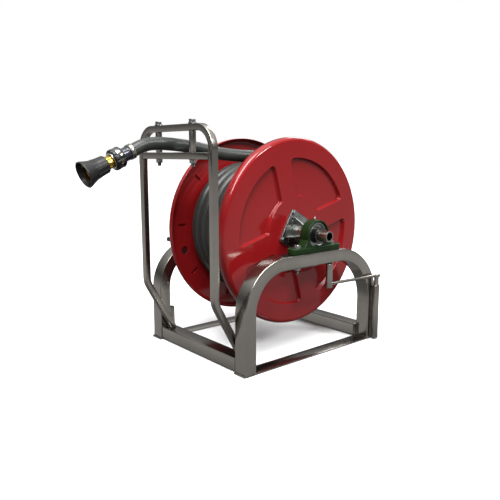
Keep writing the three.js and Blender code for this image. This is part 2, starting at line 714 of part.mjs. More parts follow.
// The nozzle's own axis is +X here; the group turns it forward and down.
function addNozzle() {
  const nozzle = new THREE.Group();
  nozzle.position.copy(HOSE_END);
  nozzle.rotation.set(0, radians(NOZZLE_DROP), -Math.PI / 2, 'ZYX');
  stand.add(nozzle);
  const n = NOZZLE;
  put(nozzle, 'hose_ferrule', ringX(GAP, n.ferruleEnd, n.ferruleR, n.bore), steel());
  put(nozzle, 'nozzle_tail', ringX(n.ferruleEnd + GAP, n.tailEnd, n.barrel, n.bore), black());
  put(nozzle, 'nozzle_coupling', ringX(n.ringStart, n.ringEnd, n.ringR, n.barrel + GAP, 24), black());
  const body = turned([
    [n.ringEnd + GAP, n.bore], [n.ringEnd + GAP, n.flangeR], [n.flangeEnd, n.flangeR],
    [n.flangeEnd, n.bodyR], [n.bodyEnd - n.bodyTaper, n.bodyR], [n.bodyEnd, n.lipR], [n.bodyEnd, n.bore],
  ]);
  put(nozzle, 'nozzle_body', body, brass());
  const lip = 6;
  const sleeve = turned([
    [n.sleeveStart, n.bodyR + GAP], [n.sleeveStart, n.sleeveBack], [n.throatX, n.sleeveMid],
    [n.sleeveEnd - lip, n.sleeveFlare], [n.sleeveEnd, n.sleeveFlare], [n.sleeveEnd, n.mouthR],
    [n.throatX, n.throatR], [n.neckX, n.bodyR + GAP],
  ], 24);
  put(nozzle, 'nozzle_bumper', sleeve, black());
  const head = 7;
  const taper = 4;
  const stem = turned([
    [n.stemStart, 0], [n.stemStart, n.stemR], [n.baffleEnd - head, n.stemR],
    [n.baffleEnd - head + taper, n.baffleR], [n.baffleEnd, n.baffleR], [n.baffleEnd, 0],
  ]);
  put(nozzle, 'nozzle_stem', stem, brass());
}

addLead();
addNozzle();

export default reel;
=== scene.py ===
import math

import bmesh
import bpy
from mathutils import Matrix, Vector
from mathutils.geometry import tessellate_polygon


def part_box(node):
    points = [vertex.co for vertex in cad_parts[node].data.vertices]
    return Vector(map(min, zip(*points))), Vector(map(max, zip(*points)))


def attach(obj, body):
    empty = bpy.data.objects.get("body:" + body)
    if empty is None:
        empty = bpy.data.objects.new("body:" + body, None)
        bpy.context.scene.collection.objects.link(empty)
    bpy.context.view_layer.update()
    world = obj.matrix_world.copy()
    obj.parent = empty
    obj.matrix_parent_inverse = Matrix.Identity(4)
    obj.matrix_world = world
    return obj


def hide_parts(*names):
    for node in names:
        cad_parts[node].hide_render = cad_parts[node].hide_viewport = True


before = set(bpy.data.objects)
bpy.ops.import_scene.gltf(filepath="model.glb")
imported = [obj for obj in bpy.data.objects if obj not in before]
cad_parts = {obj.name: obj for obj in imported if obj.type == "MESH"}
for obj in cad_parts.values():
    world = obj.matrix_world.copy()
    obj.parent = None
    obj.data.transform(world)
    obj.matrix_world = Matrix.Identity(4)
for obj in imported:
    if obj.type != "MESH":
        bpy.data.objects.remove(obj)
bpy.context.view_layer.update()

# ---- sizes, in metres, in the frame's own axes ----
X, Y, Z = Vector((1, 0, 0)), Vector((0, 1, 0)), Vector((0, 0, 1))
SIDES = ((1, "right"), (-1, "left"))


def middle(node):
    low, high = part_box(node)
    return (low + high) / 2


STAND_Y = middle("right_arch").y
AXLE = Vector((0, middle("inlet_axle").y, middle("inlet_axle").z))
GAP = 0.0003

TUBE_WIDE, TUBE_DEEP, TUBE_CORNER = 0.050, 0.040, 0.0030
ARCH_X = middle("right_arch").x
LEG_REACH = 0.27225                   # from the stand's middle to a leg's middle
ARCH_Z = 0.3125
FRONT_BEND, REAR_BEND = 0.136, 0.175  # shoulder radii at the middle of the tube
FOOT_TOP = 0.0053
MEMBER_HALF = 0.2022

GUIDE_TUBE, GUIDE_CORNER = 0.020, 0.003
GUIDE_Y = middle("guide_lower_bar").y
GUIDE_LEG_X = 0.187
GUIDE_TOP, GUIDE_BAR_Z = 0.707, 0.627
GUIDE_BEND = 0.065
GUIDE_KINK_Z, MEMBER_TOP = 0.214, 0.045
GUIDE_FOOT_Y = GUIDE_Y + 0.094
M12_R, M12_HEX = 0.006, 0.0109
M8_R, M8_HEX = 0.004, 0.0075

DISC_R, DISC_FACE, SHEET = 0.300, 0.147, 0.0018
RIM_ROUND, RIM_WIDTH = 0.014, 0.0275
SPOKE_TURN = math.radians(15.5)
SPOKE_HALF, PANEL_IN, PANEL_OUT = 0.033, 0.116, 0.236
PANEL_SINK, PANEL_WALL = 0.0112, 0.0048
OUTER_CORNER, INNER_CORNER = 0.014, 0.009
GROOVE_SINK, GROOVE_WALL = 0.0060, 0.0008
EDGE = 0.0005                         # flat strip beside each bend of the sheet
GROOVE_MIDDLE, GROOVE_LONG, GROOVE_WIDE = 0.243, 0.030, 0.011
GROOVE_COUNT, FIRST_GROOVE = 9, 137   # degrees
DRAIN_R, DRAIN_AT, DRAIN_ANGLE = 0.0135, 0.246, 197
DISC_SIDES = 240
HUB_PLATE, HUB_THICK, HUB_BOLT_R = 0.113, 0.006, 0.066
SLEEVE_R, SLEEVE_END = 0.027, 0.199

HOSE_R = 0.0188
TURN_PITCH = 0.038
LAYERS = (0.1631, 0.2010)             # radius of each wound layer's centre line
TOP_LAYER = 0.2396                    # and of the hose that leaves over the top
TURNS = 7
CROSSOVER = 0.4                       # part of each turn in which the hose steps sideways
COIL_START = math.radians(50)
COIL_END = len(LAYERS) * TURNS - CROSSOVER
LEAD_POINTS = [
    (0.092, 0.035, 0.6246), (0.092, -0.026, 0.6246), (0.087, -0.088, 0.6246), (0.073, -0.151, 0.6275),
    (0.054, -0.201, 0.634), (0.033, -0.251, 0.646), (0.017, -0.296, 0.655), (0.005, -0.344, 0.6605),
    (0.0, -0.388, 0.662), (0.0, -0.4279, 0.6565), (0.0, -0.463, 0.6413),
]
NOZZLE_DROP = math.radians(23.5)
NOZZLE_AXIS = Vector((0, -math.cos(NOZZLE_DROP), -math.sin(NOZZLE_DROP)))
HOSE_END = Vector(LEAD_POINTS[-1])

AXLE_R, BORE_R = 0.01685, 0.0127
ROLLER_R = 0.010
HOLDER_R, HOLDER_BORE = 0.011, 0.0086
SOCKET_R, SOCKET_BORE = 0.014, 0.0115
CRANK_SHAFT_R, CRANK_ARM_R = 0.008, 0.005
HOLDER = Vector((middle("crank_holder").x, middle("crank_holder").y, 0))
HANDLE = Vector((middle("crank_handle").x, middle("crank_handle").y, 0))
CRANK_ARM_Z = 0.224

# How bright the surroundings are at each height, from straight down (-1) to straight up (1)
SKY = [(-1.0, 0.12), (-0.5, 0.22), (-0.17, 0.70), (0.0, 0.34), (0.16, 0.08), (0.40, 0.34), (0.70, 1.00),
       (1.0, 1.25)]


# ---- camera ----
def add_camera():
    data = bpy.data.cameras.new("camera")
    data.lens = 41.0
    data.sensor_width = 36.0
    camera = bpy.data.objects.new("camera", data)
    bpy.context.scene.collection.objects.link(camera)
    turn, dip = math.radians(49.84), math.radians(9.68)
    look = Vector((-math.sin(turn) * math.cos(dip), math.cos(turn) * math.cos(dip), -math.sin(dip)))
    camera.location = (1.4377, -1.2492, 0.6355)
    camera.rotation_euler = look.to_track_quat("-Z", "Y").to_euler()
    bpy.context.scene.camera = camera


# ---- materials ----
def link(tree, source, output, target, socket):
    tree.links.new(source.outputs[output], target.inputs[socket])


def noise_node(tree, scale, detail=4.0, stretch=(1, 1, 1)):
    place = tree.nodes.new("ShaderNodeTexCoord")
    mapping = tree.nodes.new("ShaderNodeMapping")
    mapping.inputs["Scale"].default_value = stretch
    texture = tree.nodes.new("ShaderNodeTexNoise")
    texture.inputs["Scale"].default_value = scale
    texture.inputs["Detail"].default_value = detail
    link(tree, place, "Object", mapping, "Vector")
    link(tree, mapping, "Vector", texture, "Vector")
    return texture


def ranged(tree, texture, low, high, source="Fac"):
    spread = tree.nodes.new("ShaderNodeMapRange")
    spread.inputs["From Min"].default_value = 0.3
    spread.inputs["From Max"].default_value = 0.7
    spread.inputs["To Min"].default_value = low
    spread.inputs["To Max"].default_value = high
    link(tree, texture, source, spread, "Value")
    return spread


def make_material(name, colors, metallic, roughness, grain, bump, mottle=9.0, stretch=(1, 1, 1), shine=0.5,
                  sheen=0.0):
    """colors and roughness are (low, high) pairs spread by noise; grain is the bump's noise scale."""
    material = bpy.data.materials.new(name)
    material.use_nodes = True
    tree = material.node_tree
    shader = tree.nodes["Principled BSDF"]
    shader.inputs["Metallic"].default_value = metallic
    shader.inputs["Specular IOR Level"].default_value = shine
    shader.inputs["Sheen Weight"].default_value = sheen
    cloud = noise_node(tree, mottle, 5.0)
    tint = tree.nodes.new("ShaderNodeMix")
    tint.data_type = "RGBA"
    tint.inputs["A"].default_value = (*colors[0], 1)
    tint.inputs["B"].default_value = (*colors[1], 1)
    spread = ranged(tree, cloud, 0, 1)
    link(tree, spread, "Result", tint, "Factor")
    link(tree, tint, "Result", shader, "Base Color")
    fine = noise_node(tree, grain, 6.0, stretch)
    matt = ranged(tree, fine, *roughness)
    link(tree, matt, "Result", shader, "Roughness")
    relief = tree.nodes.new("ShaderNodeBump")
    relief.inputs["Strength"].default_value = bump
    relief.inputs["Distance"].default_value = 0.0005
    link(tree, fine, "Fac", relief, "Height")
    link(tree, relief, "Normal", shader, "Normal")
    return material


STEEL_TONES = ((0.285, 0.268, 0.242), (0.335, 0.315, 0.285))
STEEL = make_material("satin_steel", STEEL_TONES, 1.0, (0.17, 0.26), 260, 0.04, stretch=(1, 1, 0.08))
STEEL_ACROSS = make_material("satin_steel_across", STEEL_TONES, 1.0, (0.17, 0.26), 260, 0.04,
                             stretch=(0.08, 1, 1))
STEEL_ALONG = make_material("satin_steel_along", STEEL_TONES, 1.0, (0.17, 0.26), 260, 0.04,
                            stretch=(1, 0.08, 1))
WELD = make_material("weld_bead", ((0.10, 0.093, 0.086), (0.18, 0.168, 0.152)), 1.0, (0.30, 0.50), 420, 0.25,
                     mottle=60)
ZINC = make_material("zinc_plate", ((0.24, 0.25, 0.24), (0.36, 0.38, 0.36)), 1.0, (0.18, 0.36), 300, 0.08,
                     mottle=40)
BRIGHT = make_material("bright_steel", ((0.40, 0.38, 0.35), (0.50, 0.48, 0.44)), 1.0, (0.14, 0.24), 380, 0.03,
                       mottle=30)
DARK_STEEL = make_material("blackened_steel", ((0.075, 0.072, 0.070), (0.130, 0.125, 0.120)), 1.0,
                           (0.22, 0.38), 380, 0.08, mottle=50)
# Chrome with its colour darkened to stand in for the dark surroundings it reflects: a painted dark
# reflection. Its bright highlight comes from the lamps.
CHROME_PAINTED_DARK = make_material("chrome_with_painted_dark_reflection", ((0.16, 0.16, 0.15), (0.20, 0.20, 0.19)), 1.0,
                         (0.06, 0.12), 500, 0.01,
                         mottle=60)
RED = make_material("red_paint", ((0.190, 0.0062, 0.0075), (0.212, 0.0076, 0.0090)), 0.0, (0.07, 0.11), 420,
                    0.02, mottle=7, shine=0.36)
GREEN = make_material("green_paint", ((0.0028, 0.0125, 0.0016), (0.0050, 0.0210, 0.0026)), 0.0,
                      (0.34, 0.50), 190,
                      0.40, mottle=30, shine=0.20)
BRASS = make_material("turned_brass", ((0.36, 0.22, 0.035), (0.48, 0.32, 0.07)), 1.0, (0.16, 0.28), 300, 0.05,
                      mottle=50)
RUBBER = make_material("wound_rubber", ((0.015, 0.017, 0.0155), (0.025, 0.028, 0.0250)), 0.0,
                       (0.30, 0.44), 900,
                       0.22, mottle=24, shine=0.38, sheen=0.03)
BLACK = make_material("black_rubber", ((0.008, 0.008, 0.008), (0.0125, 0.0125, 0.0125)), 0.0, (0.32, 0.44),
                      900, 0.12, mottle=90, shine=0.28)
# Near-black with a faint blue tint painted into the colour: a painted blue reflection on the hose tail.
TAIL_BLACK_BLUE_REFLECTION = make_material("black_with_painted_blue_reflection", ((0.010, 0.013, 0.020), (0.018, 0.023, 0.034)), 0.0,
                           (0.16, 0.26), 500, 0.06, mottle=50)


# ---- mesh making ----
def skin(bm, rings, wrap=False, caps=True):
    """Joins closed rings of points with quads. wrap joins the last ring to the first."""
    made = [[bm.verts.new(point) for point in ring] for ring in rings]
    pairs = list(zip(made, made[1:]))
    if wrap:
        pairs.append((made[-1], made[0]))
    for low, high in pairs:
        for i in range(len(low)):
            j = (i + 1) % len(low)
            bm.faces.new((low[i], low[j], high[j], high[i]))
    if caps and not wrap:
        bm.faces.new(made[0])
        bm.faces.new(list(reversed(made[-1])))


def across(axis):
    """Two directions square to an axis and to each other."""
    other = Z if abs(axis.z) < 0.9 else X
    u = axis.cross(other).normalized()
    return u, axis.cross(u).normalized()


def revolve(bm, profile, origin, axis, sides=48, loop=False, shape=None):
    """Turns (along, radius) pairs about an axis. loop closes the profile on itself; shape limits the radius
    by angle."""
    u, v = across(axis)
    rings = []
    for along, radius in profile:
        ring = []
        for i in range(sides):
            angle = 2 * math.pi * i / sides
            reach = min(radius, shape(angle)) if shape else radius
            ring.append(origin + axis * along + (u * math.cos(angle) + v * math.sin(angle)) * reach)
        rings.append(ring)
    skin(bm, rings, wrap=loop, caps=True)


def rounded(points, radius, steps=4, closed=True):
    """A 2D outline with its corners rounded. radius is one number, or one for each point."""
    count = len(points)
    radii = radius if hasattr(radius, "__len__") else [radius] * count
    out = []
    for i, point in enumerate(points):
        here = Vector((*point, 0))
        if radii[i] == 0 or (not closed and i in (0, count - 1)):
            out.append(tuple(point))
            continue
        back = (Vector((*points[i - 1], 0)) - here)
        ahead = (Vector((*points[(i + 1) % count], 0)) - here)
        half = back.angle(ahead) / 2
        if half > math.radians(88):
            out.append(tuple(point))
            continue
        reach = min(radii[i] / math.tan(half), back.length * 0.49, ahead.length * 0.49)
        start, end = here + back.normalized() * reach, here + ahead.normalized() * reach
        for k in range(steps + 1):
            t = k / steps
            spot = start * (1 - t) ** 2 + here * 2 * t * (1 - t) + end * t * t
            out.append((spot.x, spot.y))
    return out


def rectangle(width, height, corner, steps=4):
    w, h = width / 2, height / 2
    return rounded([(-w, -h), (w, -h), (w, h), (-w, h)], corner, steps)


def circle(radius, sides):
    return [(radius * math.cos(2 * math.pi * i / sides), radius * math.sin(2 * math.pi * i / sides))
            for i in range(sides)]


def filleted(corners, radius, steps=20):
    """A line of points in space with its inner corners turned into arcs."""
    radii = radius if hasattr(radius, "__len__") else [radius] * len(corners)
    stations = [corners[0]]
    for i in range(1, len(corners) - 1):
        back = (corners[i - 1] - corners[i]).normalized()
        ahead = (corners[i + 1] - corners[i]).normalized()
        half = back.angle(ahead) / 2
        centre = corners[i] + (back + ahead).normalized() * radii[i] / math.sin(half)
        start = corners[i] + back * radii[i] / math.tan(half) - centre
        axis = ahead.cross(back).normalized()
        for k in range(steps + 1):
            turn = Matrix.Rotation((math.pi - 2 * half) * k / steps, 3, axis)
            stations.append(centre + turn @ start)
    stations.append(corners[-1])
    return stations


def sweep(bm, section, path, side, wrap=False, level=None, scale=None):
    """Carries a 2D section along a path without twist. side is the section's first axis at the start; level
    is a height that both ends are cut to; scale sizes the section by its place along the path."""
    count = len(path)
    rings = []
    for i, point in enumerate(path):
        if wrap:
            tangent = (path[(i + 1) % count] - path[i - 1]).normalized()
        else:
            tangent = (path[min(i + 1, count - 1)] - path[max(i - 1, 0)]).normalized()
        side = (side - tangent * side.dot(tangent)).normalized()
        other = tangent.cross(side)
        size = scale(i) if scale else 1
        ring = [point + (side * a + other * b) * size for a, b in section]
        if level is not None and i in (0, count - 1):
            ring = [spot - tangent * ((spot.z - level) / tangent.z) for spot in ring]
        rings.append(ring)
    skin(bm, rings, wrap=wrap)


def sheet_cut(bm, outline, holes, depth, edge, matrix):
    """A flat plate with holes and rounded edges, from z 0 to depth, placed by a matrix."""
    data = bpy.data.curves.new("outline", "CURVE")
    data.dimensions = "2D"
    data.fill_mode = "BOTH"
    data.extrude = depth / 2 - edge
    data.bevel_depth = edge
    data.bevel_resolution = 2
    data.offset = -edge
    for loop in [outline, *holes]:
        spline = data.splines.new("POLY")
        spline.points.add(len(loop) - 1)
        spline.use_cyclic_u = True
        for target, (a, b) in zip(spline.points, loop):
            target.co = (a, b, 0, 1)
    temp = bpy.data.objects.new("outline", data)
    bpy.context.scene.collection.objects.link(temp)
    graph = bpy.context.evaluated_depsgraph_get()
    mesh = bpy.data.meshes.new_from_object(temp.evaluated_get(graph))
    mesh.transform(matrix @ Matrix.Translation((0, 0, depth / 2)))
    bm.from_mesh(mesh)
    bpy.data.objects.remove(temp)
    bpy.data.curves.remove(data)
    bpy.data.meshes.remove(mesh)


def box(bm, low, high, edge=0.0006):
    """A block with rounded edges."""
    low, high = Vector(low), Vector(high)
    made = bmesh.ops.create_cube(bm, size=1.0)["verts"]
    for vert in made:
        vert.co = Vector([low[k] + (vert.co[k] + 0.5) * (high[k] - low[k]) for k in range(3)])
    edges = list({e for vert in made for e in vert.link_edges})
    bmesh.ops.bevel(bm, geom=edges, offset=edge, segments=2, affect="EDGES", profile=0.5)


def finish(name, bm, material, body, replaces=(), sharp=32):
    bmesh.ops.remove_doubles(bm, verts=bm.verts, dist=1e-6)
    bmesh.ops.recalc_face_normals(bm, faces=bm.faces)
    mesh = bpy.data.meshes.new(name)
    bm.to_mesh(mesh)
    bm.free()
    mesh.polygons.foreach_set("use_smooth", [True] * len(mesh.polygons))
    mesh.set_sharp_from_angle(angle=math.radians(sharp))
    mesh.materials.append(material)
    piece = bpy.data.objects.new(name, mesh)
    bpy.context.scene.collection.objects.link(piece)
    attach(piece, body)
    if replaces:
        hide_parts(*replaces)
    return piece


# ---- hose ----
def eased(t):
    t = min(1.0, max(0.0, t))
    return t * t * (3 - 2 * t)


def coil_point(turns):
    """A point of the wound hose after that many turns: parallel turns with a sideways step at the back."""
    layer = min(int(turns // TURNS), len(LAYERS) - 1)
    turn = turns - layer * TURNS
    whole = math.floor(turn)
    step = eased((turn - whole - (1 - CROSSOVER)) / CROSSOVER)
    radius = LAYERS[layer]
    place = whole + step
    if whole == TURNS - 1:
        place = whole
        radius += step * (LAYERS[-1] - LAYERS[0])
    direction = 1 if layer % 2 else -1
    x = direction * TURN_PITCH * ((TURNS - 1) / 2 - place)
    angle = COIL_START + 2 * math.pi * turns
    return AXLE + Vector((x, radius * math.cos(angle), radius * math.sin(angle)))


def climb_points():
    """From the coil's last turn, up one layer, to the top of the coil."""
    end_x = coil_point(COIL_END).x
    first = COIL_START + 2 * math.pi * COIL_END
    last = math.pi / 2 + 2 * math.pi * len(LAYERS) * TURNS
    count = 26
    points = []
    for i in range(count):
        angle = first + (last - first) * i / count
        step = eased((angle - first) / (2 * math.pi * CROSSOVER))
        radius = LAYERS[-1] + (TOP_LAYER - LAYERS[-1]) * step
        x = end_x + (LEAD_POINTS[0][0] - end_x) * step
        points.append(AXLE + Vector((x, radius * math.cos(angle), radius * math.sin(angle))))
    return points


def smooth_path(points, per_span=6):
    """Centripetal Catmull-Rom through the points."""
    ends = [points[0] * 2 - points[1], *points, points[-1] * 2 - points[-2]]
    path = []
    for i in range(len(points) - 1):
        p = ends[i:i + 4]
        knots = [0.0]
        for a, b in zip(p, p[1:]):
            knots.append(knots[-1] + math.sqrt((b - a).length))
        for k in range(per_span):
            t = knots[1] + (knots[2] - knots[1]) * k / per_span
            first = [p[j].lerp(p[j + 1], (t - knots[j]) / (knots[j + 1] - knots[j])) for j in range(3)]
            second = [first[j].lerp(first[j + 1], (t - knots[j]) / (knots[j + 2] - knots[j]))
                      for j in range(2)]
            path.append(second[0].lerp(second[1], (t - knots[1]) / (knots[2] - knots[1])))
    path.append(points[-1])
    return path


def add_hose(nozzle_pieces):
    per_turn = 48
    steps = range(int(COIL_END * per_turn) + 1)
    wound_path = [coil_point(COIL_END * i / (COIL_END * per_turn)) for i in steps]
    wound_path.append(coil_point(COIL_END - 1e-6))
    bm = bmesh.new()
    sweep(bm, circle(HOSE_R, 20), wound_path, X)
    wound = finish("wound_hose", bm, RUBBER, "drum", ["hose_coil"])

    free_path = smooth_path(climb_points() + [Vector(point) for point in LEAD_POINTS])
    bm = bmesh.new()
    sweep(bm, circle(HOSE_R, 28), free_path, X)
    free = finish("free_hose", bm, RUBBER, "root", ["hose_lead"])


# ---- nozzle, along its own axis from the hose's end ----
def nozzle_part(name, profile, material, body, replaces=(), sides=48, loop=True, shape=None, sharp=32):
    bm = bmesh.new()
    revolve(bm, [(a, r) for a, r in profile], HOSE_END, NOZZLE_AXIS, sides, loop, shape)
    return finish(name, bm, material, body, replaces, sharp)


def ribbed(start, end, low, high, count, land=0.5):
    """Profile of raised bands between two stations, with flat lands and grooves between them."""
    pitch = (end - start) / count
    points = []
    for k in range(count):
        at = start + k * pitch
        far = at + pitch * land
        points += [(at, low), (at + 0.0004, high), (far, high), (far + 0.0004, low)]
    return points


def add_nozzle():
    """Returns the pieces that sit on the hose itself."""
    bore = 0.012
    crimp = [(0.0003, bore), (0.0003, 0.0204), (0.0012, 0.0218), *ribbed(0.0030, 0.0110, 0.0208, 0.0218, 3),
             (0.0132, 0.0218), (0.0140, 0.0208), (0.0140, bore)]
    ferrule = nozzle_part("crimped_ferrule", crimp, BRIGHT, "root", ["hose_ferrule"])
    tail = [(0.0143, bore), (0.0143, 0.0188), (0.0150, 0.0195), *ribbed(0.0170, 0.0230, 0.0188, 0.0195, 2),
            (0.0290, 0.0195), (0.0520, 0.0195), (0.0520, bore)]
    shank = nozzle_part("hose_tail", tail, TAIL_BLACK_BLUE_REFLECTION, "root", ["nozzle_tail"])

    lug_count = 12

    def lugs(angle):
        wave = math.cos(lug_count * angle)
        return 0.0300 - 0.0016 * eased((wave - 0.30) / 0.4)

    ring = rounded([(0.0380, 0.0199), (0.0380, 0.0262), (0.0405, 0.0292), (0.0448, 0.0300), (0.0448, 0.0280),
                    (0.0574, 0.0280), (0.0574, 0.0300), (0.0665, 0.0300), (0.0690, 0.0272), (0.0690, 0.0199)],
                   [0, 0.001, 0.002, 0.0008, 0.0004, 0.0004, 0.0008, 0.002, 0.001, 0], 3)
    nozzle_part("coupling_ring", ring, BLACK, "coupling_ring", ["nozzle_coupling"], 144, shape=lugs)
    band = rounded([(0.0450, 0.0279), (0.0450, 0.0291), (0.0572, 0.0291), (0.0572, 0.0279)],
                   [0, 0.0005, 0.0005, 0], 3)
    nozzle_part("coupling_band", band, CHROME_PAINTED_DARK, "coupling_ring", sides=64)
    seat = rounded([(0.0692, 0.0183), (0.0692, 0.0236), (0.0718, 0.0236), (0.0718, 0.0183)],
                   [0, 0.0006, 0.0008, 0], 3)
    nozzle_part("body_collar", seat, BRIGHT, "root")

    flat_count = 8

    def flats(angle):
        step = 2 * math.pi / flat_count
        return 0.0176 / math.cos((angle % step) - step / 2)

    body = [(0.0720, bore), (0.0720, 0.0176), (0.0728, 0.0186), (0.0880, 0.0186), (0.0888, 0.0178),
            (0.1300, 0.0178), (0.1340, 0.0155), (0.1340, bore)]
    nozzle_part("brass_body", body, BRASS, "root", ["nozzle_body"], 96, shape=flats)
    corners = [(0.0900, 0.0183, 0), (0.0900, 0.0244, 0.0022), (0.1040, 0.0250, 0.010), (0.1180, 0.0260, 0.02),
               (0.1310, 0.0284, 0.02), (0.1430, 0.0322, 0.02), (0.1550, 0.0366, 0.004),
               (0.1600, 0.0374, 0.0012), (0.1600, 0.0346, 0.0012), (0.1500, 0.0310, 0.02),
               (0.1380, 0.0242, 0.01), (0.1260, 0.0183, 0)]
    bumper = rounded([(a, r) for a, r, bend in corners], [bend for a, r, bend in corners], 5)
    nozzle_part("pattern_bumper", bumper, BLACK, "pattern_sleeve", ["nozzle_bumper"], 72)
    grips = bmesh.new()
    u, v = across(NOZZLE_AXIS)
    grip_count = 12
    for k in range(grip_count):
        angle = 2 * math.pi * k / grip_count
        out = u * math.cos(angle) + v * math.sin(angle)
        path = [HOSE_END + NOZZLE_AXIS * a + out * r
                for a, r in ((0.0935, 0.0240), (0.1040, 0.0246), (0.1180, 0.0257), (0.1280, 0.0274))]
        sweep(grips, rectangle(0.0046, 0.0026, 0.0010, 3), smooth_path(path, 4), out.cross(NOZZLE_AXIS))
    finish("bumper_grips", grips, BLACK, "pattern_sleeve")

    stem = rounded([(0.0800, 0), (0.0800, 0.0090), (0.1380, 0.0090), (0.1420, 0.0138), (0.1450, 0.0138),
                    (0.1466, 0.0060), (0.1466, 0)], [0, 0.001, 0.002, 0.001, 0.001, 0.001, 0], 3)
    nozzle_part("nozzle_baffle", stem, BRASS, "root", ["nozzle_stem"], loop=False)
    teeth = bmesh.new()
    revolve(teeth, [(0.1400, 0.0200), (0.1400, 0.0240), (0.1440, 0.0262), (0.1440, 0.0200)], HOSE_END,
            NOZZLE_AXIS, 48, True)
    tooth_count = 18
    for k in range(tooth_count):
        angle = 2 * math.pi * k / tooth_count
        out = u * math.cos(angle) + v * math.sin(angle)
        path = [HOSE_END + NOZZLE_AXIS * a + out * 0.0226 for a in (0.1435, 0.1500)]
        sweep(teeth, rectangle(0.0044, 0.0046, 0.0006, 2), path, out.cross(NOZZLE_AXIS))
    finish("stream_teeth", teeth, BRASS, "pattern_sleeve")
    return [ferrule, shank]


# ---- stand ----
def add_weld(bm, path, radius=0.0020, wrap=False):
    """A weld bead with its ripples along a path."""
    dense = []
    ends = path + path[:1] if wrap else path
    for a, b in zip(ends, ends[1:]):
        count = max(1, round((b - a).length / 0.0011))
        dense += [a.lerp(b, k / count) for k in range(count)]
    if not wrap:
        dense.append(path[-1])
    side = X if abs((dense[1] - dense[0]).normalized().x) < 0.9 else Y
    sweep(bm, circle(radius, 8), dense, side, wrap, scale=lambda i: (1.0, 1.16, 1.08)[i % 3])


def outline_path(section, origin, u, v):
    return [origin + u * a + v * b for a, b in section]


def tube_piece(name, section, path, side, material, replaces, **options):
    bm = bmesh.new()
    sweep(bm, section, path, side, **options)
    return finish(name, bm, material, "root", replaces)


def add_stand():
    section = rectangle(TUBE_WIDE, TUBE_DEEP, TUBE_CORNER)
    welds = bmesh.new()
    for side, name in SIDES:
        x = side * ARCH_X
        front, rear = STAND_Y - LEG_REACH, STAND_Y + LEG_REACH
        corners = [Vector((x, front, FOOT_TOP)), Vector((x, front, ARCH_Z)), Vector((x, rear, ARCH_Z)),
                   Vector((x, rear, FOOT_TOP))]
        path = filleted(corners, [0, FRONT_BEND, REAR_BEND, 0], 32)
        tube_piece(f"{name}_arch_tube", section, path, X, STEEL, [f"{name}_arch"])
        bm = bmesh.new()
        box(bm, *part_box(f"{name}_foot_bar"), 0.0007)
        finish(f"{name}_foot_strip", bm, STEEL_ALONG, "root", [f"{name}_foot_bar"])
        for y in (front, rear):
            add_weld(welds, outline_path(section, Vector((x, y, FOOT_TOP)), X, Y), wrap=True)
    for node in ("front_cross_member", "rear_cross_member"):
        spot = middle(node)
        ends = [Vector((k * MEMBER_HALF, spot.y, spot.z)) for k in (-1, 1)]
        tube_piece(f"{node}_tube", section, ends, Y, STEEL_ACROSS, [node])
        for k in (-1, 1):
            add_weld(welds, outline_path(section, Vector((k * MEMBER_HALF, spot.y, spot.z)), Y, Z), wrap=True)
    finish("stand_welds", welds, WELD, "root")


def add_guide():
    section = rectangle(GUIDE_TUBE, GUIDE_TUBE, GUIDE_CORNER)
    base = MEMBER_TOP + GAP
    left = [Vector((-GUIDE_LEG_X, GUIDE_FOOT_Y, base)), Vector((-GUIDE_LEG_X, GUIDE_Y, GUIDE_KINK_Z)),
            Vector((-GUIDE_LEG_X, GUIDE_Y, GUIDE_TOP))]
    right = [Vector((-p.x, p.y, p.z)) for p in reversed(left)]
    tube_piece("guide_tube", section, filleted(left + right, GUIDE_BEND, 20), X, STEEL, ["guide_frame"],
               level=base)
    reach = GUIDE_LEG_X - GUIDE_TUBE / 2 - GAP
    ends = [Vector((k * reach, GUIDE_Y, GUIDE_BAR_Z)) for k in (-1, 1)]
    tube_piece("guide_bar_tube", section, ends, Y, STEEL_ACROSS, ["guide_lower_bar"])
    welds = bmesh.new()
    slope = (GUIDE_FOOT_Y - GUIDE_Y) / (GUIDE_KINK_Z - base)
    stretch = math.hypot(1, slope)
    for k in (-1, 1):
        add_weld(welds, outline_path(section, ends[0] if k < 0 else ends[1], Y, Z), 0.0014, True)
        foot = outline_path(section, Vector((k * GUIDE_LEG_X, GUIDE_FOOT_Y, base)), X, Y * stretch)
        add_weld(welds, foot, 0.0015, True)
    finish("guide_welds", welds, WELD, "root")


# ---- fasteners ----
def hexagon_limit(corner):
    return lambda angle: corner * math.cos(math.pi / 6) / math.cos(angle % (math.pi / 3) - math.pi / 6)


def add_head(bm, seat, axis, corner, height):
    """A hexagon head or nut with a washer face below and a turned chamfer above."""
    revolve(bm, [(0, corner * 0.84), (0.0004, corner * 0.84), (0.0004, corner * 0.97), (0.0010, corner),
                 (height - corner * 0.12, corner), (height, corner * 0.84)], seat, axis, 48,
            shape=hexagon_limit(corner))


def add_thread(bm, start, axis, radius, length, pitch=0.00175):
    profile = [(0, radius * 0.86)]
    count = max(1, int(length / pitch))
    for k in range(count):
        profile += [(pitch * (k + 0.25), radius), (pitch * (k + 0.75), radius * 0.88)]
    profile.append((length, radius * 0.80))
    revolve(bm, profile, start, axis, 24)


def add_washer(bm, seat, axis, outer, inner, thick):
    profile = rounded([(0, inner), (0, outer), (thick, outer), (thick, inner)], thick * 0.2, 2)
    revolve(bm, profile, seat, axis, 40, loop=True)


